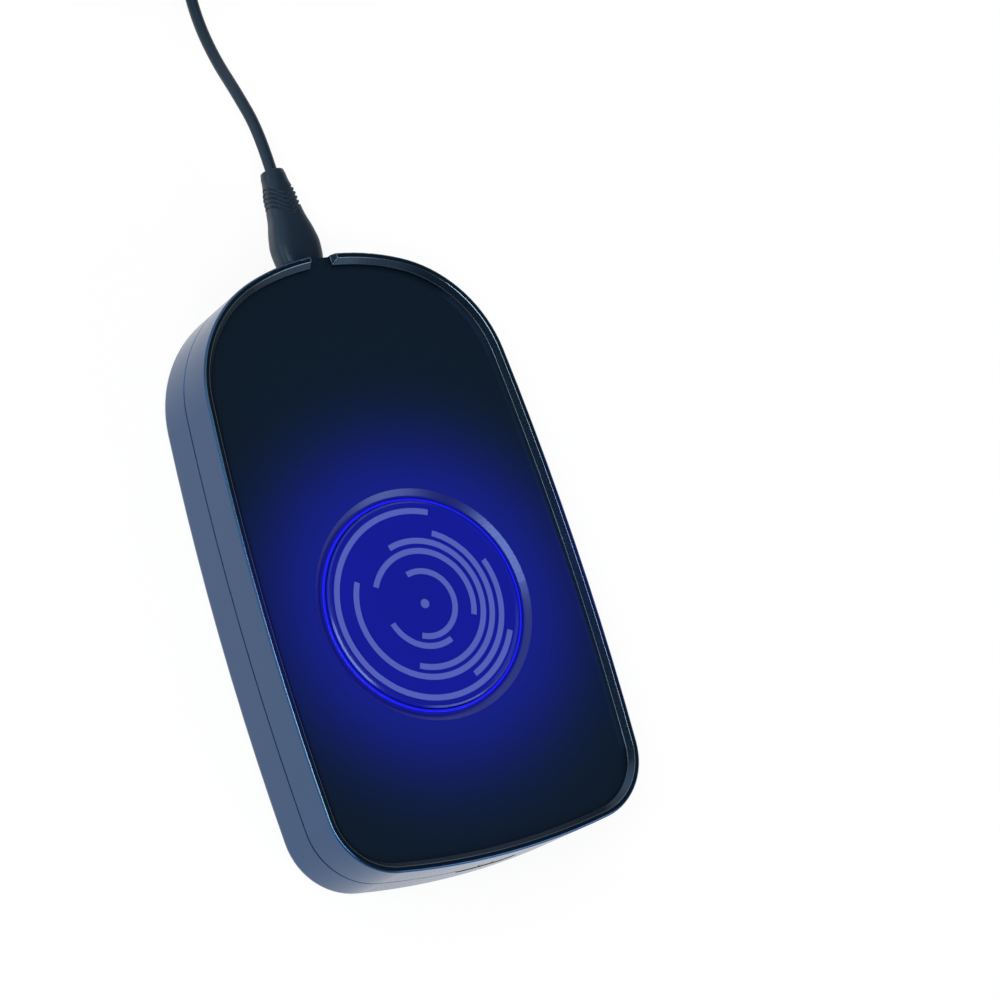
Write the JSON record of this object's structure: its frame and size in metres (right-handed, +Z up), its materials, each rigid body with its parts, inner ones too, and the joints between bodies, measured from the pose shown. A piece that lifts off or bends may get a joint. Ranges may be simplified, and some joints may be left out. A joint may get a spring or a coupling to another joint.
{
  "type": "mouse jiggler",
  "caption": "Shallow tray that a computer mouse rests in, with a slowly turning patterned disc in a lit ring, a front push button and a USB lead at the back.",
  "frame": {"origin": "on the table, under the middle of the case: the lead and its plugs are not counted", "axes": "+X to the right, +Y to the back where the lead leaves, +Z up"},
  "size_m": [0.1063, 0.2394, 0.023],
  "materials": {
    "case_plastic": "satin, near-black with a navy cast",
    "rubber_foot": "matte",
    "disc_print": "satin printed label",
    "turntable_plastic": "matte",
    "gear_plastic": "natural acetal",
    "light_guide": "emissive, frosted, glows blue when on",
    "lamp": "emissive",
    "steel": "bright",
    "zinc": "zinc plated",
    "board": "solder-masked glass fibre",
    "chip": "matte",
    "capacitor_can": "sleeved",
    "button_plastic": "satin",
    "switch_plastic": "matte",
    "plug_metal": "nickel plated",
    "cable_jacket": "satin",
    "tie_plastic": "matte",
    "lead_jacket": "satin"
  },
  "bodies": {
    "case": {"upper_shell": "case_plastic", "lower_shell": "case_plastic", "foot_front_left": "rubber_foot", "foot_front_right": "rubber_foot", "foot_back_left": "rubber_foot", "foot_back_right": "rubber_foot", "case_screw_front_left": "zinc", "case_screw_front_right": "zinc", "case_screw_back_left": "zinc", "case_screw_back_right": "zinc", "chassis_plate": "case_plastic", "chassis_screw_front_left": "zinc", "chassis_screw_front_right": "zinc", "chassis_screw_back_left": "zinc", "chassis_screw_back_right": "zinc", "spindle": "steel", "spindle_clip": "steel", "thrust_washer": "gear_plastic", "idler_pin": "steel", "motor": "steel", "motor_flange": "steel", "motor_screw_left": "zinc", "motor_screw_right": "zinc", "light_ring": "light_guide", "light_board": "board", "light_1": "lamp", "light_2": "lamp", "light_3": "lamp", "light_4": "lamp", "light_screw_1": "zinc", "light_screw_2": "zinc", "light_screw_3": "zinc", "tact_switch": "switch_plastic", "switch_board": "board", "main_board": "board", "main_screw_left": "zinc", "main_screw_right": "zinc", "usb_socket": "plug_metal", "controller_chip": "chip", "capacitor": "capacitor_can", "motor_lead": "lead_jacket", "light_lead": "lead_jacket", "switch_lead": "lead_jacket"},
    "turntable": {"turntable": "turntable_plastic", "pattern_disc": "disc_print"},
    "idler": {"idler_gear": "gear_plastic"},
    "motor_rotor": {"motor_shaft": "steel", "motor_pinion": "gear_plastic"},
    "power_button": {"power_button": "button_plastic", "switch_plunger": "switch_plastic"},
    "lead": {"plug_shell": "plug_metal", "plug_body": "cable_jacket", "cable_run": "cable_jacket", "cable_coil": "cable_jacket", "cable_tie": "tie_plastic", "cable_tail": "cable_jacket", "far_plug_body": "cable_jacket", "far_plug_shell": "plug_metal"}
  },
  "joints": [
    {"name": "turntable_spin", "type": "hinge", "parent": "case", "child": "turntable", "pos_m": [0, -0.01074, 0], "axis": [0, 0, 1], "continuous": true},
    {"name": "idler_spin", "type": "hinge", "parent": "case", "child": "idler", "pos_m": [0, 0.00726, 0], "axis": [0, 0, 1], "continuous": true},
    {"name": "motor_spin", "type": "hinge", "parent": "case", "child": "motor_rotor", "pos_m": [0, 0.02226, 0], "axis": [0, 0, 1], "continuous": true},
    {"name": "button_press", "type": "slide", "parent": "case", "child": "power_button", "axis": [0, 1, 0], "range_m": [0, 0.0005], "stiffness_N_per_m": 400, "springref_m": -0.0005},
    {"name": "plug_pull", "type": "slide", "parent": "case", "child": "lead", "axis": [0, 1, 0], "range_m": [0, 0.008]}
  ],
  "couplings": [
    {"joint": "idler_spin", "follows": "turntable_spin", "ratio": -5},
    {"joint": "motor_spin", "follows": "turntable_spin", "ratio": 20}
  ]
}
